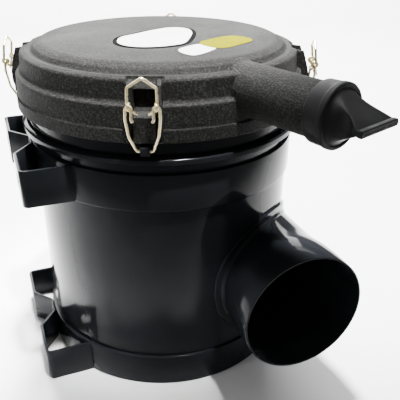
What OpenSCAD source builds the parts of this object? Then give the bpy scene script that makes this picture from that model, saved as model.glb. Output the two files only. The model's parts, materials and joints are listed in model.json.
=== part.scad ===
// Air filter housing for a small engine: a steel can with a tangential inlet, a moulded
// cover with a dust valve, four wire latches, and a primary and a safety element inside.
// The origin is on the can's axis at its bottom rim. The inlet duct points along -Y and
// the mounting feet face -X.

/* [Can] */
// Outer radius of the can wall
can_r = 130; // [128:1:134]
// Thickness of the can's sheet steel
can_wall = 1.5; // [1.5:0.5:2.5]
// Height of the can's upper rim, inside the cover
neck_top_z = 278.5; // [277:0.5:278.5]
// Height of the middle of the rolled bead
bead_z = 247; // [244:1:249]
// Radius of the rolled bead's round edge
bead_edge_r = 4.2; // [3:0.2:4.6]
// Outer radius of the rolled bead
bead_r = 138; // [136:1:139]

/* [End plate and outlet] */
// Height of the end plate's underside above the bottom rim
plate_z = 38; // [34:1:42]
// Outer radius of the outlet spigot
outlet_r = 50; // [48:1:52]
// Wall of the outlet tube
outlet_wall = 2; // [2:0.5:3]
// Outer radius of the outlet tube inside the can, where the elements seal
seat_r = 48; // [48:0.1:48.5]
// Height of the outlet tube's inner end
seat_top_z = 84; // [80:1:90]

/* [Inlet] */
// Sideways offset of the inlet duct from the can's axis
inlet_offset = 72; // [68:1:72]
// Height of the inlet duct's axis
inlet_z = 104; // [100:1:112]
// Outer radius of the duct at its root
inlet_root_r = 56; // [52:1:56]
// Outer radius of the duct at its mouth
inlet_mouth_r = 59.7; // [58:0.1:61]
// Distance of the mouth from the can's axis
inlet_reach = 190; // [180:1:200]
// Length of the straight spigot at the mouth
inlet_straight = 30; // [20:1:34]
// Wall of the duct
inlet_wall = 1.8; // [1.5:0.1:2.5]
// Width of the saddle collar around the duct's root
collar_width = 9; // [6:1:12]
// Thickness of the saddle collar
collar_t = 2.6; // [2:0.1:3]

/* [Bands and feet] */
// Outer radius of the two mounting bands
band_r = 132.9; // [132.5:0.1:134]
// Height of the bands
band_h = 35; // [30:1:36]
// Height of the upper band's lower edge
upper_band_z = 199; // [190:1:204]
// Distance of the feet's outer face from the can's axis
foot_face = 152.5; // [148:0.5:156]
// Thickness of the foot strip
foot_t = 3; // [2.5:0.5:4]
// Half of the outer width across the two legs
leg_half = 78; // [74:1:84]
// Half of the gap between the two feet
foot_gap_half = 32; // [28:1:36]
// Sideways distance of a slot from the middle plane
slot_side = 54; // [50:1:58]
// Width of the bolt slots
slot_w = 11; // [9:1:13]
// Length of the bolt slots, end to end
slot_l = 22; // [18:1:26]

/* [Cover] */
// Outer radius of the cover's skirt
skirt_r = 140.1; // [139:0.1:141]
// Height of the skirt's lower edge
skirt_z = 265; // [265:0.5:267]
// Height of the cover's crown
crown_z = 326.5; // [326:0.5:330]
// Wall of the moulded cover
cover_wall = 3; // [2.5:0.5:3.5]

/* [Dust stub and valve] */
// Direction of the dust stub, from -Y towards +X
stub_azimuth = 19.5; // [15:0.5:25]
// Sideways offset of the dust stub from the can's axis
stub_offset = -5; // [-12:1:5]
// Height of the dust stub's axis
stub_z = 299; // [297.5:0.5:299]
// Outer radius of the dust stub
stub_r = 22; // [21:0.1:22]
// Wall of the dust stub
stub_wall = 2.8; // [2.8:0.1:3.5]
// Distance of the valve cuff's inner end from the can's axis
cuff_start = 197; // [190:1:204]
// Length of the valve's cuff
cuff_l = 25.5; // [20:0.5:28]
// Outer radius of the valve's cuff
cuff_r = 25.5; // [25:0.5:27.5]
// Length of the valve's bill in front of the cuff
bill_l = 32; // [24:1:36]

/* [Wire latches] */
// Direction of the front latch, from -Y towards +X
latch_azimuth = -23; // [-25:0.5:-20]
// Diameter of the latch wire
wire_d = 2.6; // [2.4:0.1:2.6]
// Distance of the bail's foot from the can's axis
foot_pin_r = 144; // [144:0.5:145]
// Height of the bail's foot
foot_pin_z = 260.5; // [260:0.1:260.5]
// Distance of the lever's pivot from the can's axis
eye_r = 151; // [151:0.5:152]
// Height of the lever's pivot
eye_z = 299; // [298:0.5:300]

/* [Filter elements] */
// Outer radius of the primary element's end caps
primary_r = 98; // [94:1:100]
// Height of the primary element's lower face
primary_z = 42.5; // [42.5:0.5:44]
// Height of the primary element's upper face
primary_top_z = 300; // [290:1:301]
// Number of pleats in the primary element
pleats = 48; // [36:1:60]
// Outer radius of the safety element, which the primary's seal cap clears
safety_r = 47; // [46.5:0.1:47.5]
// Height of the safety element's upper face
safety_top_z = 278; // [250:1:280]

/* [Hidden] */

BLACK_PAINT = [0.03, 0.03, 0.035];
BLACK_PLASTIC = [0.12, 0.12, 0.12];
BLACK_RUBBER = [0.05, 0.05, 0.05];
YELLOW_ZINC = [0.86, 0.72, 0.38];
PLAIN_STEEL = [0.62, 0.63, 0.65];
FILTER_PAPER = [0.86, 0.78, 0.55];

// Facets of large round parts, of small ones and of wire
ROUND = 180;
FINE = 48;
WIRE_ROUND = 24;
// Clearance of a seal from the face it is pressed on, and overshoot of a cut
GAP = 0.3;
THROUGH = 1;

can_in = can_r - can_wall;
inlet_in = inlet_mouth_r - inlet_wall;
latch_azimuths = [for (k = [0:3]) latch_azimuth + 90 * k];
skirt_in = skirt_r - cover_wall;
shelf_z = 282;
shelf_t = 3;
shelf_in = 124;
seal_in = seat_r - outlet_wall;
screen_t = 1;
cap_h = 10;
seal_cap_h = 2 * cap_h - 1;
inner_screen_r = 59;
media_out = primary_r - 2.4;
media_in = inner_screen_r + 0.4;
safety_core_r = 33;
foot_cap_h = cap_h - 2;
lug_w = 8;
label_t = 0.5;
label_gap = 1;

// ---- helpers ----

// Turns what is drawn facing -Y to the given direction around the can.
module at_azimuth(a) {
    rotate([0, 0, a]) children();
}

// A tube standing on z0, drawn as an exact ring.
module ring(r_out, r_in, z0, h) {
    translate([0, 0, z0])
        difference() {
            cylinder(r = r_out, h = h, $fn = ROUND);
            translate([0, 0, -THROUGH]) cylinder(r = r_in, h = h + 2 * THROUGH, $fn = ROUND);
        }
}

// A point at sideways x, distance r from the axis towards -Y, and height z.
function spot(x, r, z) = [x, -r, z];

module rod(a, b, d) {
    v = b - a;
    translate(a)
        rotate([0, acos(v[2] / norm(v)), atan2(v[1], v[0])])
            cylinder(h = norm(v), d = d, $fn = WIRE_ROUND);
}

// Round wire bent along a path, with ball corners a little larger than the wire.
module bent_wire(path, d) {
    for (i = [0:len(path) - 2]) rod(path[i], path[i + 1], d);
    for (i = [1:len(path) - 2]) translate(path[i]) sphere(d = d * 1.12, $fn = WIRE_ROUND);
}

// ---- can and what is welded to it ----

module inlet_axis() {
    translate([inlet_offset, 0, inlet_z]) rotate([90, 0, 0]) children();
}

module bead_profile() {
    mid_r = bead_r - bead_edge_r;
    translate([mid_r, bead_z]) circle(r = bead_edge_r, $fn = FINE);
    translate([can_r - can_wall / 2, bead_z - bead_edge_r])
        square([mid_r - can_r + can_wall / 2, 2 * bead_edge_r]);
}

module can_shell() {
    color(BLACK_PAINT)
        difference() {
            union() {
                ring(can_r, can_in, 0, neck_top_z);
                rotate_extrude($fn = ROUND) bead_profile();
            }
            inlet_axis() cylinder(r = inlet_root_r, h = can_r + THROUGH, $fn = ROUND);
        }
}

module end_plate() {
    flange_h = 7;
    color(BLACK_PAINT) {
        ring(can_in, seat_r, plate_z, can_wall);
        ring(can_in, can_in - can_wall, plate_z + can_wall, flange_h);
    }
}

// The spigot is wider than the seat inside the can, and ends a little below the end plate.
module outlet_tube() {
    neck_l = 4;
    color(BLACK_PAINT)
        difference() {
            union() {
                cylinder(r = outlet_r, h = plate_z - neck_l, $fn = ROUND);
                cylinder(r = seat_r, h = seat_top_z, $fn = ROUND);
            }
            translate([0, 0, -THROUGH])
                cylinder(r = seal_in, h = seat_top_z + 2 * THROUGH, $fn = ROUND);
        }
}

module inlet_collar() {
    color(BLACK_PAINT)
        intersection() {
            ring(can_r + collar_t, can_r, 0, bead_z);
            inlet_axis()
                difference() {
                    cylinder(r = inlet_root_r + collar_width, h = inlet_reach, $fn = ROUND);
                    translate([0, 0, -THROUGH])
                        cylinder(r = inlet_root_r, h = inlet_reach + 2 * THROUGH, $fn = ROUND);
                }
        }
}

module inlet_profile() {
    flare_end = inlet_reach - inlet_straight;
    flare_start = can_r;
    root_in = inlet_root_r - inlet_wall;
    polygon([
        [root_in, 0], [inlet_root_r, 0], [inlet_root_r, flare_start],
        [inlet_mouth_r, flare_end], [inlet_mouth_r, inlet_reach],
        [inlet_in, inlet_reach], [inlet_in, flare_end], [root_in, flare_start],
    ]);
}

module inlet_duct() {
    color(BLACK_PAINT)
        difference() {
            inlet_axis() rotate_extrude($fn = ROUND) inlet_profile();
            cylinder(r = can_in, h = bead_z, $fn = ROUND);
        }
}

module band(z0) {
    color(BLACK_PAINT) ring(band_r, can_r, z0, band_h);
}

module upper_band() {
    band(upper_band_z);
}

module lower_band() {
    band(0);
}

// Points beside a path at a signed distance, with mitred corners.
function unit(v) = v / norm(v);
function heading(path, i) = unit(path[min(i + 1, len(path) - 1)] - path[min(i, len(path) - 2)]);
function beside(path, d) = [
    for (i = [0:len(path) - 1])
        let (
            before = heading(path, max(i - 1, 0)),
            after = heading(path, i),
            normal = unit([-before[1] - after[1], before[0] + after[0]])
        ) path[i] + normal * d / (normal * [-after[1], after[0]])
];
function reversed(list) = [for (i = [len(list) - 1:-1:0]) list[i]];

// The strip leaves the band, turns along the foot and runs back to the band in the middle.
module strip_2d() {
    mid_face = foot_face - foot_t / 2;
    leg_y = leg_half - foot_t / 2;
    leg_root = can_r * cos(40);
    weld_r = band_r + foot_t / 4;
    weld_half = 10;
    half = [
        [-leg_root, leg_y], [-mid_face, leg_y],
        [-mid_face, foot_gap_half], [-weld_r, weld_half],
    ];
    path = concat(half, [for (p = reversed(half)) [p[0], -p[1]]]);
    difference() {
        polygon(concat(beside(path, foot_t / 2), reversed(beside(path, -foot_t / 2))));
        circle(r = band_r, $fn = ROUND);
    }
}

module bolt_slot() {
    reach = slot_l / 2 - slot_w / 2;
    cut_l = 4 * foot_t;
    rotate([0, -90, 0])
        translate([0, 0, foot_face - cut_l / 2]) {
            for (y = [-reach, reach])
                translate([0, y, 0]) cylinder(d = slot_w, h = cut_l, $fn = FINE);
            translate([-slot_w / 2, -reach, 0]) cube([slot_w, 2 * reach, cut_l]);
        }
}

module bracket(z0) {
    color(BLACK_PAINT)
        difference() {
            translate([0, 0, z0])
                linear_extrude(band_h) strip_2d();
            for (y = [-slot_side, slot_side])
                translate([0, y, z0 + band_h / 2]) bolt_slot();
        }
}

module upper_bracket() {
    bracket(upper_band_z);
}

module lower_bracket() {
    bracket(0);
}

// Four drilled lugs on the can's neck, which hold the latch bails.
module latch_lugs() {
    lug_h = 8;
    lug_z = foot_pin_z - lug_h / 2 + 0.1;
    lug_r = foot_pin_r + 3;
    lug_root = can_r - 3;
    color(BLACK_PAINT)
        for (a = latch_azimuths) at_azimuth(a)
            difference() {
                translate([-lug_w / 2, -lug_r, lug_z])
                    cube([lug_w, lug_r - lug_root, lug_h]);
                translate([0, 0, lug_z - THROUGH])
                    cylinder(r = can_r, h = lug_h + 2 * THROUGH, $fn = ROUND);
                translate(spot(-lug_w, foot_pin_r, foot_pin_z))
                    rotate([0, 90, 0])
                        cylinder(d = wire_d + 0.2, h = 2 * lug_w, $fn = WIRE_ROUND);
            }
}

// Shroud around the element, so that the inlet air spins before it turns inwards.
module flow_sleeve() {
    sleeve_r = 111.5;
    sleeve_t = 1;
    sleeve_z = plate_z + can_wall;
    sleeve_top_z = 205;
    color(BLACK_PAINT)
        ring(sleeve_r, sleeve_r - sleeve_t, sleeve_z, sleeve_top_z - sleeve_z);
}

// ---- cover ----

// Points of the cover's half section, from the skirt inwards and from the crown down.
function outside(inset, drop) = [skirt_r - inset, crown_z - drop];
function inside(inset, drop) = [skirt_in - inset, crown_z - cover_wall - drop];

module cover_outer_2d() {
    flat_r = 60;
    polygon([
        [0, skirt_z], [skirt_r, skirt_z], outside(0, 51), outside(1.2, 49.6),
        outside(1.2, 34.5), outside(2.5, 31.6), outside(5.3, 30.2), outside(6.3, 27),
        outside(6.9, 14.5), outside(8.6, 11.6), outside(12.1, 10.2), outside(16.1, 10.6),
        outside(19.1, 8.6), outside(22.5, 5), outside(28.1, 2.8),
        [flat_r, crown_z - 0.6], [0, crown_z],
    ]);
}

module cover_inner_2d() {
    flat_r = 60;
    bottom = skirt_z - THROUGH;
    polygon([
        [0, bottom], [skirt_in, bottom], inside(0, 46), inside(1.2, 44.8),
        inside(1.2, 32.1), inside(2.5, 30.4), inside(5.1, 29.2), inside(6.3, 25),
        inside(6.9, 12.2), inside(8.5, 10.4), inside(14.1, 10.7), inside(18.1, 8.4),
        inside(21.5, 4.9), inside(26.1, 2.8),
        [flat_r, crown_z - cover_wall - 0.6], [0, crown_z - cover_wall],
    ]);
}

module stub_axis() {
    at_azimuth(stub_azimuth)
        translate([stub_offset, 0, stub_z]) rotate([90, 0, 0]) children();
}

// The ledge block and its two cheeks, which the latch lever's toes bear on.
module latch_ledge() {
    block_half = 8;
    block_face = eye_r - 4;
    block_top = eye_z - 7;
    cheek_x = 11.5;
    cheek_t = 2;
    cheek_face = block_face - 3;
    cheek_top = crown_z - 13;
    ledge_z = 268;
    root_r = skirt_in - 4;
    translate([-block_half, -block_face, ledge_z])
        cube([2 * block_half, block_face - root_r, block_top - ledge_z]);
    for (x = [-cheek_x - cheek_t, cheek_x])
        translate([x, -cheek_face, ledge_z])
            cube([cheek_t, cheek_face - root_r, cheek_top - ledge_z]);
}

module cover_shell() {
    stub_end = cuff_start + cuff_l - 6;
    rib_r = 95;
    rib_z = primary_top_z + 1;
    rib_top = crown_z - cover_wall - 1;
    bore_start = 105;
    whole_r = 2 * skirt_r;
    color(BLACK_PLASTIC)
        difference() {
            union() {
                difference() {
                    union() {
                        rotate_extrude($fn = ROUND) cover_outer_2d();
                        for (a = latch_azimuths) at_azimuth(a) latch_ledge();
                        stub_axis() cylinder(r = stub_r, h = stub_end, $fn = ROUND);
                    }
                    rotate_extrude($fn = ROUND) cover_inner_2d();
                }
                ring(skirt_in, shelf_in, shelf_z, shelf_t);
                ring(rib_r, rib_r - cover_wall, rib_z, rib_top - rib_z);
            }
            intersection() {
                stub_axis() translate([0, 0, bore_start])
                    cylinder(r = stub_r - stub_wall, h = stub_end - bore_start + THROUGH, $fn = ROUND);
                union() {
                    translate([0, 0, shelf_z + shelf_t])
                        cylinder(r = whole_r, h = crown_z, $fn = ROUND);
                    ring(whole_r, skirt_r + cover_wall, 0, crown_z);
                }
            }
        }
}

module cover_gasket() {
    gasket_z = neck_top_z + GAP;
    color(BLACK_RUBBER)
        ring(can_r + 4, can_r - 4, gasket_z, shelf_z - gasket_z);
}

// Soft cuff with a flat bill, closed by its own lips.
module dust_valve() {
    lip_w = 44;
    lip_t = 4.5;
    lip_l = 5;
    face_t = 3;
    bill_root_r = cuff_r - 2.5;
    color(BLACK_RUBBER)
        stub_axis()
            translate([0, 0, cuff_start]) {
                difference() {
                    cylinder(r = cuff_r, h = cuff_l, $fn = ROUND);
                    translate([0, 0, -THROUGH])
                        cylinder(r = stub_r, h = cuff_l - face_t + THROUGH, $fn = ROUND);
                }
                hull() {
                    translate([0, 0, cuff_l - 1])
                        cylinder(r = bill_root_r, h = 1, $fn = FINE);
                    translate([-lip_w / 2, -lip_t / 2, cuff_l + bill_l - lip_l])
                        cube([lip_w, lip_t, lip_l]);
                }
            }
}

// Outline of a label with round ends, as a tall prism over its place on the crown.
module label_prism(x, y, turn, len, wid) {
    translate([x, y, skirt_z]) rotate([0, 0, turn])
        linear_extrude(crown_z) {
            for (s = [-1, 1]) translate([s * (len - wid) / 2, 0]) circle(d = wid, $fn = FINE);
            square([len - wid, wid], center = true);
        }
}

// A thin skin over the cover, where what is given lies above it.
module label_skin() {
    difference() {
        intersection() {
            children();
            translate([0, 0, label_t]) rotate_extrude($fn = ROUND) cover_outer_2d();
        }
        rotate_extrude($fn = ROUND) cover_outer_2d();
    }
}

module pale_outline(grow) {
    label_prism(-12, -34, -22, 90 + 2 * grow, 80 + 2 * grow);
}

module pale_label() {
    color([0.93, 0.93, 0.93]) label_skin() pale_outline(0);
}

module yellow_label() {
    color([0.88, 0.80, 0.25])
        label_skin()
            difference() {
                label_prism(27, -85, 17.5, 66, 44);
                pale_outline(label_gap);
            }
}

// ---- primary element ----

// One pleat runs from an outer fold to an inner fold and back, as polar points.
function fold(r, turn) = [r * cos(turn), r * sin(turn)];
function pleat_outline(tip_r, root_r, tip_half, root_half) = [
    for (k = [0:pleats - 1]) let (step = 360 / pleats, a = k * step) each [
        fold(tip_r, a - tip_half), fold(tip_r, a + tip_half),
        fold(root_r, a + step / 2 - root_half), fold(root_r, a + step / 2 + root_half),
    ]
];

module primary_media() {
    media_z = primary_z + seal_cap_h;
    sheet = 1.6;
    color(FILTER_PAPER)
        translate([0, 0, media_z])
            linear_extrude(primary_top_z - cap_h - media_z)
                difference() {
                    polygon(pleat_outline(media_out, media_in + sheet, 1.4, 0.5));
                    polygon(pleat_outline(media_out - sheet, media_in, 0.5, 1.6));
                }
}

module primary_screen(r_out) {
    screen_z = primary_z + seal_cap_h;
    color(PLAIN_STEEL) ring(r_out, r_out - screen_t, screen_z, primary_top_z - cap_h - screen_z);
}

module primary_outer_screen() {
    primary_screen(primary_r - 1);
}

module primary_inner_screen() {
    primary_screen(inner_screen_r);
}

module primary_seal_cap() {
    color(BLACK_RUBBER) ring(primary_r, seat_r + GAP, primary_z, seal_cap_h);
}

module primary_end_cap() {
    color(BLACK_RUBBER)
        translate([0, 0, primary_top_z - cap_h])
            cylinder(r = primary_r, h = cap_h, $fn = ROUND);
}

// ---- safety element ----

module safety_seal_cap() {
    plug_z = 62;
    color(BLACK_RUBBER) {
        ring(seal_in - GAP, safety_core_r, plug_z, seat_top_z + 2 * GAP - plug_z);
        ring(safety_r, safety_core_r, seat_top_z + GAP, foot_cap_h);
    }
}

module safety_media() {
    media_z = seat_top_z + GAP + foot_cap_h;
    color(FILTER_PAPER)
        ring(safety_r - 1, safety_core_r, media_z, safety_top_z - cap_h - media_z);
}

module safety_core() {
    core_z = 66;
    color(PLAIN_STEEL)
        ring(safety_core_r, safety_core_r - screen_t, core_z, safety_top_z - cap_h - core_z);
}

module safety_end_cap() {
    color(BLACK_RUBBER)
        translate([0, 0, safety_top_z - cap_h])
            cylinder(r = safety_r, h = cap_h, $fn = ROUND);
}

// ---- wire latches ----

// Lower wire: its foot sits in the can's lug and its two hooks carry the lever.
module bail(k) {
    hook_x = 8.4;
    leg_x = 13.5;
    half = [
        spot(hook_x, eye_r + 3.4, eye_z - 11), spot(hook_x, eye_r, eye_z),
        spot(leg_x, eye_r, eye_z), spot(leg_x, eye_r, eye_z - 10),
        spot(11.6, eye_r - 1.5, eye_z - 25), spot(7.4, foot_pin_r, foot_pin_z),
        spot(0, foot_pin_r, foot_pin_z),
    ];
    color(YELLOW_ZINC) at_azimuth(latch_azimuths[k]) {
        bent_wire(half, wire_d);
        mirror([1, 0, 0]) bent_wire(half, wire_d);
    }
}

// Upper wire: a house-shaped grip, an eye on each side and two toes for the ledge.
module lever(k) {
    eye_ring_r = wire_d + 0.1;
    eye_out_r = 4;
    eye_w = 2.2;
    eye_x = 10.9;
    toe_z = eye_z - 6.2;
    grip = [
        spot(eye_x, eye_r, eye_z + eye_ring_r), spot(eye_x + 0.2, eye_r, eye_z + 14.5),
        spot(0, eye_r - 0.5, eye_z + 22),
        spot(-eye_x - 0.2, eye_r, eye_z + 14.5), spot(-eye_x, eye_r, eye_z + eye_ring_r),
    ];
    color(YELLOW_ZINC) at_azimuth(latch_azimuths[k]) {
        bent_wire(grip, wire_d);
        for (s = [-1, 1]) {
            translate(spot(s * eye_x - eye_w / 2, eye_r, eye_z)) rotate([0, 90, 0])
                difference() {
                    cylinder(r = eye_out_r, h = eye_w, $fn = FINE);
                    translate([0, 0, -THROUGH])
                        cylinder(r = wire_d / 2 + 0.1, h = eye_w + 2 * THROUGH, $fn = FINE);
                }
            rod(spot(s * eye_x, eye_r - 1.6, eye_z - 2.2),
                spot(s * 4.3, eye_r - 2.3, toe_z), wire_d * 0.98);
        }
    }
}

module bail_front() { bail(0); }
module bail_right() { bail(1); }
module bail_rear() { bail(2); }
module bail_left() { bail(3); }
module lever_front() { lever(0); }
module lever_right() { lever(1); }
module lever_rear() { lever(2); }
module lever_left() { lever(3); }

can_shell();
end_plate();
outlet_tube();
inlet_collar();
inlet_duct();
upper_band();
lower_band();
upper_bracket();
lower_bracket();
latch_lugs();
flow_sleeve();
cover_shell();
cover_gasket();
dust_valve();
pale_label();
yellow_label();
primary_media();
primary_outer_screen();
primary_inner_screen();
primary_seal_cap();
primary_end_cap();
safety_media();
safety_core();
safety_seal_cap();
safety_end_cap();
bail_front();
bail_right();
bail_rear();
bail_left();
lever_front();
lever_right();
lever_rear();
lever_left();
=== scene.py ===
"""Looks of the air filter housing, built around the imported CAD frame.

Lengths in this file are millimetres unless a name says otherwise; MM turns them into
Blender's metres. Directions round the can are azimuths in degrees, from -Y towards +X.
"""
import json
import math

import bmesh
import bpy
from mathutils import Matrix, Vector


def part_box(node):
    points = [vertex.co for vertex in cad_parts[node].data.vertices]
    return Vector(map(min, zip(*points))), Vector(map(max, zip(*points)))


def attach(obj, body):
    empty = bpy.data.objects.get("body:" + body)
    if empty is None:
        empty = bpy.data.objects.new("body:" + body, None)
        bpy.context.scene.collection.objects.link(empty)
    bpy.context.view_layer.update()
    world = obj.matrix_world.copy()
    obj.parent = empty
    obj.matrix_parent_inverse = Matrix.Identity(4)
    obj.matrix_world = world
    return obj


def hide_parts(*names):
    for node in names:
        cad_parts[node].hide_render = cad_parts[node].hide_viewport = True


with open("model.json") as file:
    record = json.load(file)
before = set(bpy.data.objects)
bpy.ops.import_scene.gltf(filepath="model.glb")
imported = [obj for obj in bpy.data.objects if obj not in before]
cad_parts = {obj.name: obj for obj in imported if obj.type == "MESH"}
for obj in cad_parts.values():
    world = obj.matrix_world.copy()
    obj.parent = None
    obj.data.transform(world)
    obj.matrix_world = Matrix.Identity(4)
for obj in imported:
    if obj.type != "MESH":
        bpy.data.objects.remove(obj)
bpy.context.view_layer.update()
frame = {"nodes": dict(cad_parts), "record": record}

MM = 0.001
MOUNTS = {m["name"]: m for m in frame["record"]["mounts"]}
LATCHES = {"front": -23, "right": 67, "rear": 157, "left": 247}

# Sizes that the frame gives
BAND_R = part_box("lower_band")[1].x / MM
BAND_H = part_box("lower_band")[1].z / MM
UPPER_BAND_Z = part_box("upper_band")[0].z / MM
BEAD_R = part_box("can_shell")[1].x / MM
NECK_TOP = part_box("can_shell")[1].z / MM
SKIRT_OVERLAP = 13.5
SKIRT_Z = NECK_TOP - SKIRT_OVERLAP
LABEL_T = 0.5
CROWN_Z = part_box("pale_label")[1].z / MM - LABEL_T
FOOT_FACE = -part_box("upper_bracket")[0].x / MM
LEG_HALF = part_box("upper_bracket")[1].y / MM
INLET_X = MOUNTS["inlet_spigot"]["pos_m"][0] / MM
INLET_Z = MOUNTS["inlet_spigot"]["pos_m"][2] / MM
INLET_MOUTH_R = MOUNTS["inlet_spigot"]["dims"]["r_mm"]
INLET_REACH = -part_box("inlet_duct")[0].y / MM
SLOT_SIDE = MOUNTS["mounting_slots"]["dims"]["spacing_x_mm"] / 2
SLOT_L = MOUNTS["mounting_slots"]["dims"]["slot_length_mm"]
SLOT_W = MOUNTS["mounting_slots"]["dims"]["hole_r_mm"] * 2

# Sizes that the CAD model has too
CAN_R = 130.0
BEAD_Z = 247.0
SKIRT_R = 140.1
COVER_WALL = 3.0
FOOT_T = 3.0
INLET_R = 56.0
INLET_WALL = 1.8
STUB_AZIMUTH = 19.5
STUB_OFFSET = -5.0
STUB_Z = 299.0
STUB_R = 22.0
STUB_WALL = 2.8
CUFF_START = 197.0
CUFF_L = 25.5
CUFF_R = 25.5
BILL_L = 32.0
LIP_HALF = 22.0
LIP_T = 2.25
EYE_R = 151.0
EYE_Z = 299.0
FOOT_PIN_R = 144.0
FOOT_PIN_Z = 260.5

# Sizes of this model's own: the CAD model has a can wall of 1.5, a wire radius of 1.3, a flare
# that starts at 130 and a cuff as long as CUFF_L
CAN_WALL = 2.0
WIRE_R = 1.2
INLET_FLARE_Y = 124.0
CUFF_SEEN = 18.0
# Half of the angle round the cuff that runs into one flat face of the bill, in degrees
LIP_FAN = 17.0


# ---------- small geometry helpers ----------

def around(azimuth, x, r, z):
    """The point at sideways x, distance r and height z, facing the given azimuth."""
    a = math.radians(azimuth)
    return Vector((x * math.cos(a) + r * math.sin(a), x * math.sin(a) - r * math.cos(a), z))


def mix(a, b, t):
    return a + (b - a) * t


def circle(count):
    """Angles in radians, evenly spaced round a full turn."""
    return [2 * math.pi * k / count for k in range(count)]


def smooth_step(t):
    t = min(max(t, 0.0), 1.0)
    return t * t * (3 - 2 * t)


def rounded(corners, closed=False, steps=6):
    """Points along a line of corners, each given as (point, bend radius)."""
    count = len(corners)
    line = []
    for i, (point, radius) in enumerate(corners):
        here = Vector(point)
        if radius <= 0 or (not closed and i in (0, count - 1)):
            line.append(here)
            continue
        to_last = Vector(corners[i - 1][0]) - here
        to_next = Vector(corners[(i + 1) % count][0]) - here
        angle = to_last.angle(to_next)
        cut = radius / math.tan(angle / 2)
        cut = min(cut, to_last.length * 0.49, to_next.length * 0.49)
        radius = cut * math.tan(angle / 2)
        start = here + to_last.normalized() * cut
        end = here + to_next.normalized() * cut
        middle = (to_last.normalized() + to_next.normalized()).normalized()
        centre = here + middle * (radius / math.sin(angle / 2))
        arm_a, arm_b = start - centre, end - centre
        turn = arm_a.angle(arm_b)
        for k in range(steps + 1):
            t = k / steps
            swing = (math.sin((1 - t) * turn) * arm_a + math.sin(t * turn) * arm_b)
            line.append(centre + swing / math.sin(turn))
    return line


def make_piece(name, verts, faces, body, slot, material, replaces, sharp=40):
    """A mesh object from points in millimetres, smooth except at sharp edges."""
    piece = plain_object(name, verts, faces, merge=True)
    finish_piece(piece, sharp)
    dress(piece, body, material, replaces)


def finish_piece(piece, sharp):
    """Shades a piece smooth, apart from edges sharper than an angle in degrees."""
    piece.data.shade_smooth()
    piece.data.set_sharp_from_angle(angle=math.radians(sharp))


def dress(piece, body, material, replaces):
    """Gives a piece its material and its body, and hides the CAD nodes it stands for."""
    piece.data.materials.clear()
    piece.data.materials.append(material)
    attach(piece, body)
    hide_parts(*replaces)


def loft(rings, closed=False, cap=False):
    """Points and faces of a skin through rings of equal length, closed back to the first ring
    or capped at both ends."""
    verts = [p for ring in rings for p in ring]
    size = len(rings[0])
    faces = []
    for i in range(len(rings) if closed else len(rings) - 1):
        j = (i + 1) % len(rings)
        for k in range(size):
            m = (k + 1) % size
            faces.append((i * size + k, i * size + m, j * size + m, j * size + k))
    if cap:
        faces.append(tuple(range(size))[::-1])
        faces.append(tuple((len(rings) - 1) * size + k for k in range(size)))
    return verts, faces


def lathe(profile, steps=192):
    """Turns a closed profile of (radius, height) points about the can's axis."""
    rings = []
    for r, z in profile:
        rings.append([around(360 * k / steps, 0, r, z) for k in range(steps)])
    return loft(rings, closed=True)


def tube(path, radius, sides=14):
    """A round wire along a path, with domed ends."""
    points = [Vector(p) for p in path]
    heads = []
    for i in range(len(points)):
        before = points[max(i - 1, 0)]
        after = points[min(i + 1, len(points) - 1)]
        heads.append((after - before).normalized())
    side = heads[0].orthogonal().normalized()
    rings = []

    def ring_at(centre, head, across, size):
        other = head.cross(across)
        return [centre + (across * math.cos(a) + other * math.sin(a)) * size
                for a in circle(sides)]

    # Where the dome's rings lie back from the wire's end, and their size, in wire radii
    dome = [(0.12, 0.72), (0.30, 0.93)]
    dome_depth = 0.42
    for back, size in dome:
        centre = points[0] + heads[0] * back * radius
        rings.append(ring_at(centre, heads[0], side, radius * size))
    for i, centre in enumerate(points):
        side = (side - heads[i] * side.dot(heads[i])).normalized()
        if i == 0:
            centre = centre + heads[0] * dome_depth * radius
        if i == len(points) - 1:
            centre = centre - heads[i] * dome_depth * radius
        rings.append(ring_at(centre, heads[i], side, radius))
    for back, size in dome[::-1]:
        centre = points[-1] - heads[-1] * back * radius
        rings.append(ring_at(centre, heads[-1], side, radius * size))
    return loft(rings, cap=True)


def join_shapes(*shapes):
    """Several (points, faces) shapes as one."""
    verts, faces = [], []
    for shape_verts, shape_faces in shapes:
        start = len(verts)
        verts += list(shape_verts)
        faces += [tuple(start + i for i in f) for f in shape_faces]
    return verts, faces


def bake(piece):
    """Applies the modifiers of a piece to its mesh."""
    graph = bpy.context.evaluated_depsgraph_get()
    mesh = bpy.data.meshes.new_from_object(piece.evaluated_get(graph))
    old = piece.data
    piece.modifiers.clear()
    piece.data = mesh
    bpy.data.meshes.remove(old)


def plain_object(name, verts, faces, merge=False):
    """A bare mesh object from points in millimetres, with points that coincide merged or not."""
    mesh = bpy.data.meshes.new(name)
    mesh.from_pydata([Vector(v) * MM for v in verts], [], faces)
    bm = bmesh.new()
    bm.from_mesh(mesh)
    if merge:
        bmesh.ops.remove_doubles(bm, verts=bm.verts, dist=1e-6)
    bmesh.ops.recalc_face_normals(bm, faces=bm.faces)
    bm.to_mesh(mesh)
    bm.free()
    thing = bpy.data.objects.new(name, mesh)
    bpy.context.collection.objects.link(thing)
    return thing


def cut(piece, cutters):
    """Cuts each cutter out of a piece, then throws the cutters away."""
    for cutter in cutters:
        change = piece.modifiers.new("cut", "BOOLEAN")
        change.operation = "DIFFERENCE"
        change.solver = "EXACT"
        change.object = cutter
    bpy.context.view_layer.update()
    bake(piece)
    for cutter in cutters:
        bpy.data.objects.remove(cutter)


def soften(piece, width, limit):
    """Rounds a piece's edges that turn more than limit degrees, by width millimetres."""
    change = piece.modifiers.new("soften", "BEVEL")
    change.width = width * MM
    change.segments = 2
    change.limit_method = "ANGLE"
    change.angle_limit = math.radians(limit)
    bpy.context.view_layer.update()
    bake(piece)


# ---------- materials ----------

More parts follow.
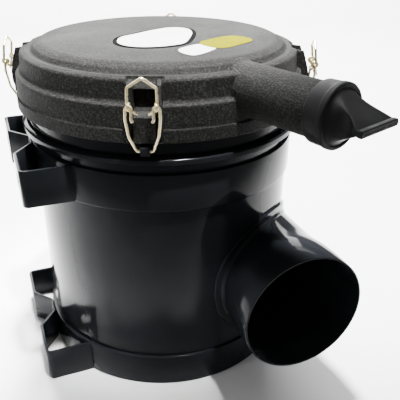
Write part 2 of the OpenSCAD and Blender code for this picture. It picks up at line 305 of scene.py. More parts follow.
class Nodes:
    """A material's nodes, with a few short ways to add them."""

    def __init__(self, name):
        self.material = bpy.data.materials.new(name)
        self.material.use_nodes = True
        self.tree = self.material.node_tree
        self.shader = self.tree.nodes["Principled BSDF"]
        self.place = self.tree.nodes.new("ShaderNodeTexCoord").outputs["Object"]

    def set(self, **values):
        for name, value in values.items():
            self.shader.inputs[name.replace("_", " ")].default_value = value
        return self

    def link(self, output, node_input):
        self.tree.links.new(output, node_input)

    def noise(self, scale, detail=3.0, roughness=0.5):
        node = self.tree.nodes.new("ShaderNodeTexNoise")
        node.inputs["Scale"].default_value = scale
        node.inputs["Detail"].default_value = detail
        node.inputs["Roughness"].default_value = roughness
        self.link(self.place, node.inputs["Vector"])
        return node.outputs["Fac"]

    def ramp(self, source, stops):
        node = self.tree.nodes.new("ShaderNodeValToRGB")
        marks = node.color_ramp.elements
        while len(marks) < len(stops):
            marks.new(0.5)
        for mark, (at, colour) in zip(marks, stops):
            mark.position = at
            mark.color = (*colour, 1.0)
        self.link(source, node.inputs["Fac"])
        return node.outputs["Color"]

    def spread(self, source, low, high):
        """A noise's usual range, 0.3 to 0.7, spread over low to high."""
        node = self.tree.nodes.new("ShaderNodeMapRange")
        node.inputs["From Min"].default_value = 0.3
        node.inputs["From Max"].default_value = 0.7
        node.inputs["To Min"].default_value = low
        node.inputs["To Max"].default_value = high
        self.link(source, node.inputs["Value"])
        return node.outputs["Result"]

    def add(self, a, b, weight):
        """a + b * weight."""
        node = self.tree.nodes.new("ShaderNodeMath")
        node.operation = "MULTIPLY_ADD"
        node.inputs[1].default_value = weight
        self.link(b, node.inputs[0])
        self.link(a, node.inputs[2])
        return node.outputs[0]

    def bump(self, height, distance, strength=1.0):
        """Bumps the surface by a height map, distance millimetres high."""
        node = self.tree.nodes.new("ShaderNodeBump")
        node.inputs["Strength"].default_value = strength
        node.inputs["Distance"].default_value = distance * MM
        self.link(height, node.inputs["Height"])
        self.link(node.outputs["Normal"], self.shader.inputs["Normal"])

    def colour(self, output):
        self.link(output, self.shader.inputs["Base Color"])

    def roughness(self, output):
        self.link(output, self.shader.inputs["Roughness"])


def gloss_paint():
    n = Nodes("gloss_paint").set(Specular_IOR_Level=0.07, IOR=1.5)
    cloud = n.noise(14, 4)
    n.colour(n.ramp(cloud, [(0.35, (0.007, 0.008, 0.009)), (0.7, (0.012, 0.013, 0.016))]))
    n.roughness(n.spread(n.noise(60, 5), 0.06, 0.16))
    n.bump(n.noise(260, 2), 0.05, 0.35)
    return n.material


def cover_plastic():
    n = Nodes("cover_plastic").set(IOR=1.5, Specular_IOR_Level=0.07)
    grain = n.noise(560, 3, 0.65)
    n.colour(n.ramp(n.add(grain, n.noise(7, 3), 0.35), [
        (0.50, (0.006, 0.006, 0.006)), (0.70, (0.013, 0.013, 0.012)),
        (0.90, (0.036, 0.036, 0.034)),
    ]))
    n.roughness(n.spread(n.noise(24, 4), 0.62, 0.74))
    n.bump(grain, 0.9, 1.0)
    return n.material


def valve_rubber():
    n = Nodes("valve_rubber").set(IOR=1.5, Specular_IOR_Level=0.08)
    n.colour(n.ramp(n.noise(35, 5), [(0.3, (0.006, 0.006, 0.006)), (0.75, (0.013, 0.013, 0.014))]))
    n.roughness(n.spread(n.noise(90, 4), 0.48, 0.66))
    n.bump(n.noise(900, 3), 0.10, 0.6)
    return n.material


def cast_rubber():
    n = Nodes("cast_rubber").set(IOR=1.48)
    n.colour(n.ramp(n.noise(25, 4), [(0.3, (0.018, 0.018, 0.020)), (0.75, (0.035, 0.035, 0.038))]))
    n.roughness(n.spread(n.noise(70, 3), 0.5, 0.7))
    n.bump(n.noise(500, 3), 0.15, 0.5)
    return n.material


def yellow_zinc():
    n = Nodes("yellow_zinc").set(Metallic=1.0)
    tint = n.noise(120, 3)
    n.colour(n.ramp(tint, [
        (0.30, (0.92, 0.78, 0.44)), (0.50, (1.00, 0.90, 0.58)),
        (0.62, (0.96, 0.76, 0.40)), (0.75, (0.92, 0.90, 0.60)),
    ]))
    n.roughness(n.spread(n.noise(400, 3), 0.22, 0.38))
    n.bump(n.noise(1800, 2), 0.03, 0.5)
    return n.material


def steel_screen():
    n = Nodes("steel_screen").set(Metallic=1.0)
    n.colour(n.ramp(n.noise(60, 4), [(0.3, (0.48, 0.49, 0.50)), (0.7, (0.66, 0.67, 0.68))]))
    n.roughness(n.spread(n.noise(250, 3), 0.28, 0.45))
    n.bump(n.noise(900, 2), 0.04, 0.4)
    return n.material


def filter_paper():
    n = Nodes("filter_paper").set(IOR=1.4)
    fibre = n.noise(900, 4, 0.7)
    n.colour(n.ramp(fibre, [(0.3, (0.56, 0.45, 0.24)), (0.7, (0.78, 0.68, 0.44))]))
    n.roughness(n.spread(fibre, 0.75, 0.9))
    n.bump(fibre, 0.2, 0.6)
    return n.material


def white_fleece():
    n = Nodes("white_fleece").set(IOR=1.4, Sheen_Weight=0.3)
    fibre = n.noise(700, 5, 0.75)
    n.colour(n.ramp(fibre, [(0.3, (0.60, 0.60, 0.58)), (0.7, (0.82, 0.82, 0.80))]))
    n.roughness(n.spread(fibre, 0.8, 0.95))
    n.bump(fibre, 0.5, 0.8)
    return n.material


def label_film(name, low, high, shine=0.15):
    n = Nodes(name).set(Specular_IOR_Level=shine)
    n.colour(n.ramp(n.noise(40, 3), [(0.3, low), (0.7, high)]))
    n.roughness(n.spread(n.noise(120, 3), 0.28, 0.42))
    n.bump(n.noise(160, 2), 0.06, 0.3)
    return n.material


def studio_floor():
    n = Nodes("studio_floor").set(Specular_IOR_Level=0.25)
    n.colour(n.ramp(n.noise(3, 2), [(0.3, (0.90, 0.90, 0.90)), (0.7, (0.93, 0.93, 0.93))]))
    n.roughness(n.spread(n.noise(20, 3), 0.6, 0.75))
    return n.material


PAINT = gloss_paint()
PLASTIC = cover_plastic()
RUBBER = valve_rubber()
CAST = cast_rubber()
ZINC = yellow_zinc()
SCREEN = steel_screen()
PAPER = filter_paper()
FLEECE = white_fleece()
PALE = label_film("pale_film", (0.44, 0.44, 0.44), (0.52, 0.52, 0.52))
YELLOW = label_film("yellow_film", (0.098, 0.093, 0.0), (0.120, 0.114, 0.0), 0.0)
DARK = label_film("dark_film", (0.004, 0.004, 0.004), (0.008, 0.008, 0.008), 0.0)


# ---------- carried-over CAD nodes ----------

CARRIED = {
    PAINT: ["can_shell", "end_plate", "outlet_tube", "inlet_collar", "inlet_duct",
            "upper_band", "lower_band", "upper_bracket", "lower_bracket", "latch_lugs",
            "flow_sleeve"],
    PLASTIC: ["cover_shell"],
    RUBBER: ["cover_gasket", "dust_valve"],
    CAST: ["primary_seal_cap", "primary_end_cap", "safety_seal_cap", "safety_end_cap"],
    SCREEN: ["primary_outer_screen", "primary_inner_screen", "safety_core"],
    PAPER: ["primary_media"],
    FLEECE: ["safety_media"],
    ZINC: [part + "_" + side for part in ("bail", "lever") for side in LATCHES],
    PALE: ["pale_label"],
    YELLOW: ["yellow_label"],
}


def dress_carried_nodes():
    for material, nodes in CARRIED.items():
        for node in nodes:
            shape = frame["nodes"][node]
            shape.data.materials.clear()
            shape.data.materials.append(material)


dress_carried_nodes()


# ---------- cover ----------

# Outside of the cover as (radius, height, bend radius), from the crown to the skirt's edge
COVER_OUTSIDE = [
    (SKIRT_R - 80, CROWN_Z - 0.6, 40), (SKIRT_R - 27.5, CROWN_Z - 2.7, 12),
    (SKIRT_R - 20.6, CROWN_Z - 6.4, 5), (SKIRT_R - 17.2, CROWN_Z - 10.8, 2.2),
    (SKIRT_R - 12.6, CROWN_Z - 9.9, 4), (SKIRT_R - 7.2, CROWN_Z - 11.6, 3.5),
    (SKIRT_R - 6.2, CROWN_Z - 28.4, 2.5), (SKIRT_R - 1.4, CROWN_Z - 31.0, 2.6),
    (SKIRT_R - 1.2, CROWN_Z - 49.4, 0.8), (SKIRT_R, CROWN_Z - 50.6, 0.6),
    (SKIRT_R, SKIRT_Z, 1.0), (SKIRT_R - COVER_WALL, SKIRT_Z, 1.0),
]
# Inside of the cover, back from the skirt to the crown
COVER_BORE = 135.9
COVER_INSIDE = [
    (137.1, 280, 0.5), (COVER_BORE, 281.4, 0.5), (COVER_BORE, CROWN_Z - 34.4, 2),
    (130.9, CROWN_Z - 31.8, 2), (130.1, CROWN_Z - 14, 2), (119.5, CROWN_Z - 13.4, 3),
    (113, CROWN_Z - 6, 6), (60, CROWN_Z - 3.6, 40),
]
POCKET_BOTTOM = EYE_Z - 9
POCKET_MIDDLE = EYE_Z + 8
POCKET_TOP = CROWN_Z - 10


def latch_offset(azimuth):
    """How far round from the nearest latch's middle, in degrees."""
    return min(abs((azimuth - a + 180) % 360 - 180) for a in LATCHES.values())


def cheek_radius(z):
    """How far out a latch pocket's cheeks reach, widest beside the ledge."""
    if z > EYE_Z:
        return mix(144.0, 139.2, (z - EYE_Z) / 15)
    if z > POCKET_BOTTOM:
        return mix(146.2, 144.0, (z - POCKET_BOTTOM) / 9)
    return mix(141.6, 146.2, smooth_step((z - 269) / 12))


def cover_radius(r, z, azimuth):
    """The cover's radius where a latch pocket or ledge changes it."""
    side = math.radians(latch_offset(azimuth)) * 138
    if side > 30 or r < 118 or z < SKIRT_Z + 2:
        return r
    # The chute above the ledge, which the lever's tip lies in
    climb = smooth_step((z - POCKET_MIDDLE) / (POCKET_TOP - POCKET_MIDDLE))
    chute = smooth_step((mix(13, 17, climb) - side) / 1.4)
    if z > POCKET_MIDDLE - 1:
        r = mix(r, min(r, mix(132.6, 127.5, climb)), chute)
    # The cheeks on both sides of the pocket
    cheek = smooth_step((14.2 - side) / 0.9) * smooth_step((side - 9.6) / 0.9)
    cheek *= smooth_step((314 - z) / 1.5) * smooth_step((z - SKIRT_Z - 2) / 1.5)
    r = mix(r, max(r, cheek_radius(z)), cheek)
    # The deep hole between the cheeks
    box = smooth_step((10.0 - side) / 0.9) * smooth_step((POCKET_MIDDLE + 0.5 - z) / 1.0)
    box *= smooth_step((z - POCKET_BOTTOM) / 1.0)
    r = mix(r, 124.5 + max(0.0, POCKET_BOTTOM + 6 - z) * 1.4, box)
    # The ledge block under the hole, which the lever's toes pull on
    block = smooth_step((8.6 - side) / 0.8) * smooth_step((POCKET_BOTTOM + 0.4 - z) / 0.8)
    block *= smooth_step((z - SKIRT_Z - 2) / 1.4)
    return mix(r, 146.6, block)


def spaced(points, step):
    """The same line with extra points, no further apart than step."""
    line = [points[0]]
    for a, b in zip(points, points[1:]):
        count = max(1, math.ceil((b - a).length / step))
        line += [a.lerp(b, (k + 1) / count) for k in range(count)]
    return line


def cover_columns():
    """Azimuths of the cover's columns, close together at the latches."""
    fine, coarse, latch_half = 0.25, 1.25, 9.9
    columns = []
    azimuth = -180.0
    while azimuth < 180.0 - 1e-6:
        columns.append(azimuth)
        azimuth += fine if latch_offset(azimuth) < latch_half else coarse
    return columns


def make_cover():
    """The moulding, with the shelf that holds its gasket and the rib round the element's cap."""
    outside = rounded([((r, 0, z), bend) for r, z, bend in COVER_OUTSIDE], steps=5)
    inside = rounded([((r, 0, z), bend) for r, z, bend in COVER_INSIDE], steps=3)
    section = spaced(outside, 1.3)
    section = [Vector((0.01, 0, CROWN_Z)), Vector((20, 0, CROWN_Z - 0.1))] + section
    inner = spaced(inside, 3.0) + [
        Vector((20, 0, CROWN_Z - 3.1)), Vector((0.01, 0, CROWN_Z - 3))]
    columns = cover_columns()
    rings = []
    for p in section:
        rings.append([around(a, 0, cover_radius(p.x, p.z, a), p.z) for a in columns])
    for p in inner:
        ring = []
        for a in columns:
            r = p.x
            if 284 < p.z < CROWN_Z - 12 and latch_offset(a) < 9:
                r = min(r, cover_radius(p.x + COVER_WALL, p.z, a) - COVER_WALL)
            ring.append(around(a, 0, r, p.z))
        rings.append(ring)
    shell = loft(rings)
    shelf_r, shelf_low, shelf_high = 124, 282, 285
    shelf = lathe([(COVER_BORE, shelf_high), (shelf_r, shelf_high), (shelf_r, shelf_low),
                   (COVER_BORE, shelf_low)])
    rib_low, rib_high = 301, CROWN_Z - 4.4
    rib = lathe([(92, rib_high), (92, rib_low + 0.4), (92.4, rib_low), (94.6, rib_low),
                 (95, rib_low + 0.4), (95, rib_high)])
    verts, faces = join_shapes(shell, shelf, rib)
    make_piece("cover_moulding", verts, faces, "cover", "cover_plastic", PLASTIC,
               ["cover_shell"], sharp=32)


def stub_point(side, up, along):
    """A point beside the dust stub's axis, at a distance along it from the can's axis."""
    return around(STUB_AZIMUTH, STUB_OFFSET + side, along, STUB_Z + up)


def stub_ring(r, along, sides):
    return [stub_point(r * math.cos(a), r * math.sin(a), along) for a in circle(sides)]


def cover_edge(z):
    """The cover's outer radius at a height."""
    steps = [(SKIRT_Z, 139.0), (CROWN_Z - 31.2, 138.8), (CROWN_Z - 28.4, 134.0),
             (CROWN_Z - 12, 132.6), (CROWN_Z - 10.2, 127.0), (CROWN_Z - 9.4, 120.6),
             (CROWN_Z - 6.0, 118.2), (CROWN_Z - 3.2, 112.5), (CROWN_Z - 1.5, 104.0)]
    for (z0, r0), (z1, r1) in zip(steps, steps[1:]):
        if z <= z1:
            return mix(r0, r1, max(z - z0, 0) / (z1 - z0))
    return steps[-1][1]


def stub_root(side, up):
    """Where along the stub's direction a line meets the cover's wall."""
    return math.sqrt(cover_edge(STUB_Z + up) ** 2 - (STUB_OFFSET + side) ** 2)


def make_stub():
    """The dust stub, from a fillet on the cover's wall to its end inside the rubber cuff."""
    sides = 96
    end = CUFF_START + CUFF_L - 6
    bore_r = STUB_R - STUB_WALL
    rings = []
    for along, extra in [(-5.0, 1.6), (-1.0, 1.6), (0.4, 1.0), (1.6, 0.5), (3.0, 0.2), (5.0, 0.0)]:
        swell = 1 + extra / STUB_R
        ring = []
        for a in circle(sides):
            side, up = STUB_R * math.cos(a), STUB_R * math.sin(a)
            ring.append(stub_point(side * swell, up * swell, stub_root(side, up) + along))
        rings.append(ring)
    for along, r in [(end - 0.8, STUB_R), (end, STUB_R - 0.8), (end, bore_r + 0.5),
                     (end - 0.5, bore_r)]:
        rings.append(stub_ring(r, along, sides))
    ring = []
    for a in circle(sides):
        side, up = bore_r * math.cos(a), bore_r * math.sin(a)
        ring.append(stub_point(side, up, stub_root(side, up) - 5.0))
    rings.append(ring)
    verts, faces = loft(rings, closed=True)
    make_piece("dust_stub", verts, faces, "cover", "cover_plastic", PLASTIC,
               ["cover_shell"], sharp=50)


def lip_place(a):
    """Where the bill's line at a degrees round the cuff ends on the lips, as (side, up)."""
    half = LIP_HALF * 0.985
    for middle, face in ((90, 1), (270, -1)):
        off = a - middle
        if abs(off) <= LIP_FAN:
            return -face * LIP_HALF * off / LIP_FAN * 0.985, face * LIP_T
    right = a < 90 or a > 270
    if right:
        swing = a if a < 180 else a - 360
    else:
        swing = 180 - a
    turn = math.radians(90 * swing / (90 - LIP_FAN))
    edge = half - LIP_T * 0.3 + LIP_T * 0.5 * math.cos(turn)
    return (edge if right else -edge), LIP_T * math.sin(turn)


def pinch(a):
    """How far the bill is drawn in at a degrees, from 0 on its flat faces to 1 mid-side."""
    reach = 90 - LIP_FAN
    off = min(abs(a), abs(a - 180), abs(a - 360))
    return max(0.0, math.cos(math.radians(90 * off / reach))) if off < reach else 0.0


def make_valve():
    """The rubber cuff, its front rim, and the bill that pinches down to flat lips."""
    sides = 144
    degrees = [360 * k / sides for k in range(sides)]
    front = CUFF_START + CUFF_L
    back = front - CUFF_SEEN
    lip_start = front + BILL_L - 5
    cuff = rounded([((along, 0, r), bend) for along, r, bend in [
        (back + 3, STUB_R + 0.1, 0), (back, STUB_R + 0.1, 0.6),
        (back, CUFF_R - 0.9, 1.0), (back + 6, CUFF_R - 0.7, 3),
        (front - 5.5, CUFF_R - 0.6, 1.2), (front - 4.6, CUFF_R, 0.8),
        (front - 0.4, CUFF_R, 1.8), (front, CUFF_R - 2.6, 1.2), (front - 1.2, CUFF_R - 3.8, 1.0),
        (front - 0.4, CUFF_R - 4.6, 0.8),
    ]], steps=4)
    rings = [stub_ring(p.z, p.x, sides) for p in cuff]

    root_r = CUFF_R - 5.2
    rows = 14
    for row in range(1, rows + 1):
        t = row / rows
        along = mix(front - 0.2, lip_start, t)
        ring = []
        for a, angle in zip(degrees, circle(sides)):
            lip_side, lip_up = lip_place(a)
            side = mix(root_r * math.cos(angle), lip_side, t)
            up = mix(root_r * math.sin(angle), lip_up, t)
            dent = math.sin(math.pi * min(t * 1.05, 1.0)) * pinch(a)
            side *= 1 - 0.34 * dent
            top = 1 - 0.10 * math.sin(math.pi * t) * (1 - pinch(a))
            ring.append(stub_point(side, up * top, along))
        rings.append(ring)
    # The lips, as (distance past their start, width, thickness), both as shares
    for past, wide, thick in [(0.6, 1.0, 1.1), (1.4, 1.0, 1.25), (4.2, 1.0, 1.25),
                              (5.0, 0.985, 0.9), (5.0, 0.95, 0.12), (3.8, 0.94, 0.10)]:
        ring = []
        for a in degrees:
            side, up = lip_place(a)
            ring.append(stub_point(side * wide, up * thick, lip_start + past))
        rings.append(ring)
    verts, faces = loft(rings)
    faces.append(tuple((len(rings) - 1) * sides + k for k in range(sides)))
    make_piece("dust_valve_rubber", verts, faces, "cover", "rubber", RUBBER,
               ["dust_valve"], sharp=38)


def crown_height(r):
    """Height of the cover's top at a distance from its middle."""
    if r < 60:
        return CROWN_Z - 0.6 * (r / 60) ** 2
    if r < 112:
        return mix(CROWN_Z - 0.6, CROWN_Z - 2.8, ((r - 60) / 52) ** 1.15)
    return CROWN_Z - 2.8


def closed_curve(points, steps=8):
    """A smooth closed line through the given points."""
    count = len(points)
    line = []
    for i in range(count):
        p0, p1, p2, p3 = (Vector(points[(i + j) % count]) for j in (-1, 0, 1, 2))
        for k in range(steps):
            t = k / steps
            line.append(0.5 * (2 * p1 + (p2 - p0) * t + (2 * p0 - 5 * p1 + 4 * p2 - p3) * t ** 2
                               + (3 * p1 - p0 - 3 * p2 + p3) * t ** 3))
    return line


def sheet(outline, lift, thick, inset):
    """A thin sheet over the crown, from a closed outline of (x, y) points."""
    middle = sum(outline, Vector((0, 0))) / len(outline)
    rows = 14

    def place(p, t, height):
        spot = middle + (p - middle) * t
        return Vector((spot.x, spot.y, crown_height(spot.length) + height))

    edge = [p - (p - middle).normalized() * inset for p in outline]
    rings = [[place(p, row / rows, lift + thick) for p in edge] for row in range(1, rows + 1)]
    rings.append([place(p, 1.0, lift) for p in edge])
    verts, faces = loft(rings)
    faces.append(tuple(range(len(edge))))
    return verts, faces


# The labels' outlines, as (x, y) seen from above
PALE_OUTLINE = [(-54, -33), (-46, -12), (-28, 0), (-8, 11), (16, 20), (30, 15), (35, 0),
                (28, -26), (8, -59), (-14, -66), (-36, -62), (-50, -50)]
YELLOW_OUTLINE = [(18, -60), (38, -45), (60, -38), (71, -47), (71, -60), (56, -71), (36, -81),
                  (24, -79)]
WHITE_OUTLINE = [(-8, -77), (4, -68), (18, -64), (27, -77), (16, -89), (0, -97), (-7, -90)]


def make_labels():
    for name, part, outline, lift, thick, inset, film in (
            ("pale_label", "edge", PALE_OUTLINE, 0.03, 0.20, 0.0, DARK),
            ("pale_label", "film", PALE_OUTLINE, 0.05, 0.38, 4.4, PALE),
            ("yellow_label", "tail", WHITE_OUTLINE, 0.03, 0.22, 0.0, PALE),
            ("yellow_label", "film", YELLOW_OUTLINE, 0.05, 0.35, 0.0, YELLOW)):
        verts, faces = sheet(closed_curve(outline), lift, thick, inset)
        make_piece(name + "_" + part, verts, faces, "cover", name, film, [name])


# ---------- can ----------

def inlet_ring(r, y, sides):
    """Points round the inlet's axis, in the plane at y."""
    return [Vector((INLET_X + r * math.cos(a), y, INLET_Z + r * math.sin(a)))
            for a in circle(sides)]


def make_can():
    """The can's wall with its rolled bead, and the hole that the inlet opens into."""
    mid_r = BEAD_R - 4.2
    section = rounded([((r, 0, z), bend) for r, z, bend in [
        (CAN_R - CAN_WALL, 0.0, 0.6), (CAN_R, 0.0, 0.6),
        (CAN_R, BEAD_Z - 4.4, 1.6), (mid_r + 0.4, BEAD_Z - 4.3, 1.4),
        (BEAD_R + 0.6, BEAD_Z - 2.2, 3.2), (BEAD_R + 0.6, BEAD_Z + 2.2, 3.2),
        (mid_r + 0.4, BEAD_Z + 4.3, 1.4), (CAN_R, BEAD_Z + 4.4, 1.6),
        (CAN_R, NECK_TOP, 0.9), (CAN_R - CAN_WALL, NECK_TOP, 0.9),
    ]], closed=True, steps=5)
    verts, faces = lathe([(min(p.x, BEAD_R), p.z) for p in section], steps=288)
    can = plain_object("can_wall", verts, faces)
    hole_r = INLET_R - 0.5
    hole = loft([inlet_ring(hole_r, y, 128) for y in (-160, -1)], cap=True)
    cut(can, [plain_object("inlet_hole", *hole)])
    finish_piece(can, 30)
    dress(can, "can", PAINT, ["can_shell"])


def make_bands():
    for name, z0 in (("upper_band", UPPER_BAND_Z), ("lower_band", 0.0)):
        section = rounded([((r, 0, z), bend) for r, z, bend in [
            (CAN_R - 0.2, z0, 0), (BAND_R, z0, 1.0), (BAND_R, z0 + BAND_H, 1.0),
            (CAN_R - 0.2, z0 + BAND_H, 0)]], steps=4)
        verts, faces = lathe([(p.x, p.z) for p in section], steps=240)
        make_piece(name + "_strap", verts, faces, "can", "black_paint", PAINT, [name], sharp=30)


def strip_side(side):
    """One side of the foot strip's outline, which lies side millimetres from its middle."""
    face, leg, weld = FOOT_FACE - FOOT_T / 2, LEG_HALF - FOOT_T / 2, BAND_R + FOOT_T / 4
    foot_y, weld_y, leg_end = 32.0, 10.0, -106.6
    slope = math.atan2(foot_y - weld_y, face - weld)
    bend = 4.5
    y_shift = side / math.tan((math.pi - (math.pi / 2 - slope)) / 2)
    tail = side / math.sin(math.pi / 2 - slope / 2 + math.pi / 4)
    return [
        ((leg_end, leg + side, 0), 0), ((-(face + side), leg + side, 0), bend + side),
        ((-(face + side), foot_y - y_shift, 0), bend - side),
        ((-(weld + side * 0.6), weld_y - tail * 0.8, 0), bend - side),
    ]


def slot_rim(y, z):
    """Points round a foot's slot, as (y, z), from its middle."""
    reach = (SLOT_L - SLOT_W) / 2
    rim = []
    for a in circle(48):
        shift = reach if math.cos(a) > 0 else -reach
        rim.append((y + shift + SLOT_W / 2 * math.cos(a), z + SLOT_W / 2 * math.sin(a)))
    return rim


def make_brackets():
    """Two bent strips, each with two slotted feet."""
    def outline(side):
        half = strip_side(side)
        other = [((p[0], -p[1], p[2]), bend) for p, bend in reversed(half)]
        return rounded(half + other, steps=6)

    loop = outline(FOOT_T / 2) + outline(-FOOT_T / 2)[::-1]
    for name, z0 in (("upper_bracket", UPPER_BAND_Z), ("lower_bracket", 0.0)):
        rings = [[Vector((p.x, p.y, z)) for p in loop] for z in (z0, z0 + BAND_H)]
        strip = plain_object(name + "_strip", *loft(rings, cap=True))
        cutters = []
        for y in (-SLOT_SIDE, SLOT_SIDE):
            rim = slot_rim(y, z0 + BAND_H / 2)
            hole = loft([[Vector((x, v, w)) for v, w in rim]
                         for x in (-FOOT_FACE - 6, -FOOT_FACE + 8)], cap=True)
            cutters.append(plain_object("slot_cutter", *hole))
        cut(strip, cutters)
        soften(strip, 0.55, limit=50)
        finish_piece(strip, 30)
        dress(strip, "can", PAINT, [name])


def inlet_root(r, can_radius, sides):
    """A ring round the inlet's axis, run back to the can's wall."""
    ring = []
    for a in circle(sides):
        x = INLET_X + r * math.cos(a)
        depth = math.sqrt(max(can_radius ** 2 - x ** 2, 9.0))
        ring.append(Vector((x, -depth, INLET_Z + r * math.sin(a))))
    return ring


def make_inlet():
    """The duct, from inside the can's wall to its flared mouth."""
    sides = 160
    flare = [(0, INLET_R), (6, INLET_R + 0.1), (14, INLET_R + 0.8), (22, INLET_R + 2.1),
             (29, INLET_MOUTH_R - 0.5), (36, INLET_MOUTH_R)]
    # The mouth's rolled edge, as (radius under the mouth's, distance back from the end)
    edge = [(0, 0.7), (0.3, 0.15), (0.9, 0), (1.5, 0.15), (INLET_WALL, 0.7)]

    def skin(r, reach):
        return inlet_ring(r, -reach, sides)

    rings = [inlet_root(INLET_R, CAN_R - CAN_WALL, sides)]
    rings += [skin(r, INLET_FLARE_Y + step) for step, r in flare]
    rings += [skin(INLET_MOUTH_R - under, INLET_REACH - back) for under, back in edge]
    rings += [skin(r - INLET_WALL, INLET_FLARE_Y + step) for step, r in reversed(flare)]
    rings.append(inlet_root(INLET_R - INLET_WALL, CAN_R - CAN_WALL, sides))
    verts, faces = loft(rings, closed=True)
    make_piece("inlet_duct_skin", verts, faces, "can", "black_paint", PAINT, ["inlet_duct"],
               sharp=40)


def make_collar():
    """The saddle plate round the duct's root, with its weld bead."""
    sides = 160
    plate_r = CAN_R + 2.6
    layers = [(65.4, CAN_R - 0.6), (65.2, plate_r - 0.9), (64.4, plate_r - 0.1),
              (60.0, plate_r), (58.9, plate_r + 0.1), (58.1, plate_r + 0.9),
              (57.2, plate_r + 1.9), (56.2, plate_r + 2.5), (55.6, plate_r + 2.6)]
    rings = []
    for r, reach in layers:
        ring = []
        for k, a in enumerate(circle(sides)):
            x = min(INLET_X + r * math.cos(a), reach * 0.9990)
            ripple = 0.25 * math.sin(k * 1.9) if reach > plate_r else 0
            ring.append(Vector((x, -math.sqrt(reach ** 2 - x ** 2) - ripple * 0.5,
                                INLET_Z + r * math.sin(a))))
        rings.append(ring)
    verts, faces = loft(rings)
    make_piece("inlet_collar_plate", verts, faces, "can", "black_paint", PAINT,
               ["inlet_collar"], sharp=35)


# ---------- latches ----------

def mirrored(half):
    """The other half of a wire's line, back from the middle to its far end."""
    return [((-p[0], p[1], p[2]), bend) for p, bend in reversed(half)]


def make_wire(body, line, azimuth, steps):
    """A wire through corners given as ((sideways, radius, height), bend) at a latch."""
    path = [around(azimuth, *p) for p in rounded(line, steps=steps)]
    make_piece(body + "_wire", *tube(path, WIRE_R), body, "yellow_zinc", ZINC, [body])


def make_latches():
    """The bails, hung in their lugs, and the levers, coiled round the bails' eyes."""
    bail = [
        ((7.4, EYE_R + 3.4, EYE_Z - 11.4), 0), ((8.6, EYE_R + 2.6, EYE_Z - 9), 1.4),
        ((8.4, EYE_R, EYE_Z), 1.6),
        ((13.2, EYE_R, EYE_Z), 2.0), ((13.5, EYE_R + 0.2, EYE_Z - 10), 12),
        ((11.6, EYE_R - 1.5, EYE_Z - 25), 14), ((6.6, FOOT_PIN_R, FOOT_PIN_Z), 2.0),
    ]
    coil_r = WIRE_R * 2 + 0.15
    coil_steps = 32
    lever = [((4.3, EYE_R - 2.3, EYE_Z - 6.6), 0)]
    for k in range(coil_steps + 1):
        a = math.radians(-78 - 22 * k + 10)
        x = mix(9.8, 11.6, k / coil_steps)
        lever.append(((x, EYE_R + coil_r * math.cos(a), EYE_Z + coil_r * math.sin(a)), 0))
    lever.append(((11.2, EYE_R - 0.6, EYE_Z + 14.5), 1.6))
    tip = [((0, EYE_R - 0.5, EYE_Z + 22), 1.8)]
    for side, azimuth in LATCHES.items():
        make_wire("bail_" + side, bail + mirrored(bail), azimuth, 7)
        make_wire("lever_" + side, lever + tip + mirrored(lever), azimuth, 6)


def make_lugs():
    """Four blocks on the can's neck, one at each bail's foot."""
    low, high = FOOT_PIN_Z - 3.9, FOOT_PIN_Z + 4.0
    loop = rounded([((CAN_R - 0.8, 0, low), 0), ((FOOT_PIN_R + 3, 0, low), 1.6),
                    ((FOOT_PIN_R + 3, 0, high), 1.6), ((CAN_R - 0.8, 0, high), 0)], steps=5)
    lugs = []
    for azimuth in LATCHES.values():
        rings = []
        for x, inset in ((-4.0, 0.5), (-3.5, 0.0), (3.5, 0.0), (4.0, 0.5)):
            ring = []
            for p in loop:
                r = p.x - (inset if p.x > CAN_R else 0)
                z = FOOT_PIN_Z + (p.z - FOOT_PIN_Z) * (1 - inset / 5)
                ring.append(around(azimuth, x, r, z))
            rings.append(ring)
        lugs.append(loft(rings, cap=True))
    verts, faces = join_shapes(*lugs)
    make_piece("latch_lug_blocks", verts, faces, "can", "black_paint", PAINT, ["latch_lugs"],
               sharp=30)


# ---------- filter element ----------

def make_screen():
    """Expanded metal round the primary element: a lattice of diamond holes."""
    low_corner, high_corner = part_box("primary_outer_screen")
    outer = high_corner.x / MM
    low, high = low_corner.z / MM, high_corner.z / MM
    across, rows = 90, 27
    hole = 0.78
    cell = 360 / across
    tall = (high - low) / rows
    verts, faces = [], []

    def add(a, z, r):
        verts.append(around(a, 0, r, z))
        return len(verts) - 1

    for r in (outer - 0.1, outer - 0.8):
        for row in range(rows):
            for column in range(across):
                for half in (0, 1):
                    if half and row == rows - 1:
                        continue
                    a = (column + half * 0.5) * cell
                    z = low + (row + half * 0.5) * tall
                    middle = z + tall / 2
                    corners = [(a, z), (a + cell / 2, middle), (a, z + tall),
                               (a - cell / 2, middle)]
                    outside = [add(u, v, r) for u, v in corners]
                    inside = [add(mix(a, u, hole), mix(middle, v, hole), r) for u, v in corners]
                    for i in range(4):
                        j = (i + 1) % 4
                        faces.append((outside[i], outside[j], inside[j], inside[i]))
    make_piece("primary_screen_lattice", verts, faces, "primary_element", "screen_steel",
               SCREEN, ["primary_outer_screen"], sharp=30)


make_cover()
make_stub()
make_valve()
make_labels()
make_can()
make_bands()
make_brackets()
make_inlet()
make_collar()
make_latches()
make_lugs()
make_screen()


# ---------- floor, light and camera ----------

def make_stage():
    size = 6.0
    verts = [(-size, -size, 0), (size, -size, 0), (size, size, 0), (-size, size, 0)]
    mesh = bpy.data.meshes.new("floor")
    mesh.from_pydata(verts, [], [(0, 1, 2, 3)])
    floor = bpy.data.objects.new("floor", mesh)
    floor.location.z = -0.0005
    bpy.context.collection.objects.link(floor)
    mesh.materials.append(studio_floor())


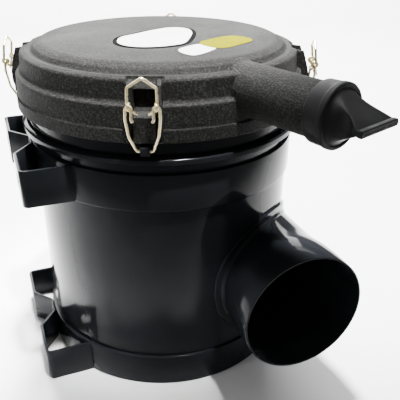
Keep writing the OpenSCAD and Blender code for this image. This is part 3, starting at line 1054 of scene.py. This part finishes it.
def place_lamp(data, azimuth, distance, height, aim):
    """Hangs a lamp at a place round the object, in metres, and turns it towards a point."""
    lamp = bpy.data.objects.new(data.name, data)
    lamp.location = around(azimuth, 0, distance, height)
    heading = Vector(aim) - lamp.location
    lamp.rotation_euler = heading.to_track_quat("-Z", "Y").to_euler()
    bpy.context.collection.objects.link(lamp)


def area_light(name, azimuth, distance, height, width, tall, watts, spread=180, aim=(0, 0, 0.17)):
    """A soft box, its beam kept within spread degrees."""
    data = bpy.data.lights.new(name, "AREA")
    data.shape = "RECTANGLE"
    data.size, data.size_y = width, tall
    data.energy = watts
    data.spread = math.radians(spread)
    place_lamp(data, azimuth, distance, height, aim)


def spot_light(name, azimuth, distance, height, aim, cone, blend, watts):
    data = bpy.data.lights.new(name, "SPOT")
    data.energy = watts
    data.spot_size = math.radians(cone)
    data.spot_blend = blend
    data.shadow_soft_size = 0.16
    place_lamp(data, azimuth, distance, height, aim)


def make_lights():
    world = bpy.data.worlds.new("studio")
    world.use_nodes = True
    background = world.node_tree.nodes["Background"]
    background.inputs["Color"].default_value = (1, 1, 1, 1)
    background.inputs["Strength"].default_value = 0.30
    bpy.context.scene.world = world
    behind = 162.5
    spot_light("overhead", behind, 0.35, 2.2, around(behind, 0, 1.67, 0), 94, 0.12, 1500)
    spot_light("crown_light", 20, 0.5, 2.2, (0, 0, 0.32), 6.4, 0.5, 3500)
    area_light("floor_wash", behind, 3.2, 2.4, 4.0, 2.0, 330, spread=110,
               aim=around(behind, 0, 3.1, 0))
    area_light("back_box", behind + 8, 1.8, 1.1, 2.2, 0.9, 45, spread=130)
    area_light("left_box", -80, 1.5, 0.7, 0.22, 1.2, 2.2)


def make_camera():
    """The camera that the photo was solved for: its place in metres, its turns in degrees."""
    azimuth, distance, height = -17.5, 0.559, 0.4298
    pitch, yaw, roll = 27.19, 4.14, -0.37
    data = bpy.data.cameras.new("camera")
    data.sensor_width = 36
    data.lens = 50.4
    data.clip_start = 0.01
    camera = bpy.data.objects.new("camera", data)
    camera.location = around(azimuth, 0, distance, height)
    turn = (
        Matrix.Rotation(math.radians(azimuth - yaw), 4, "Z")
        @ Matrix.Rotation(math.radians(90 - pitch), 4, "X")
        @ Matrix.Rotation(math.radians(-roll), 4, "Z")
    )
    camera.rotation_euler = turn.to_euler()
    bpy.context.collection.objects.link(camera)
    bpy.context.scene.camera = camera


make_stage()
make_lights()
make_camera()
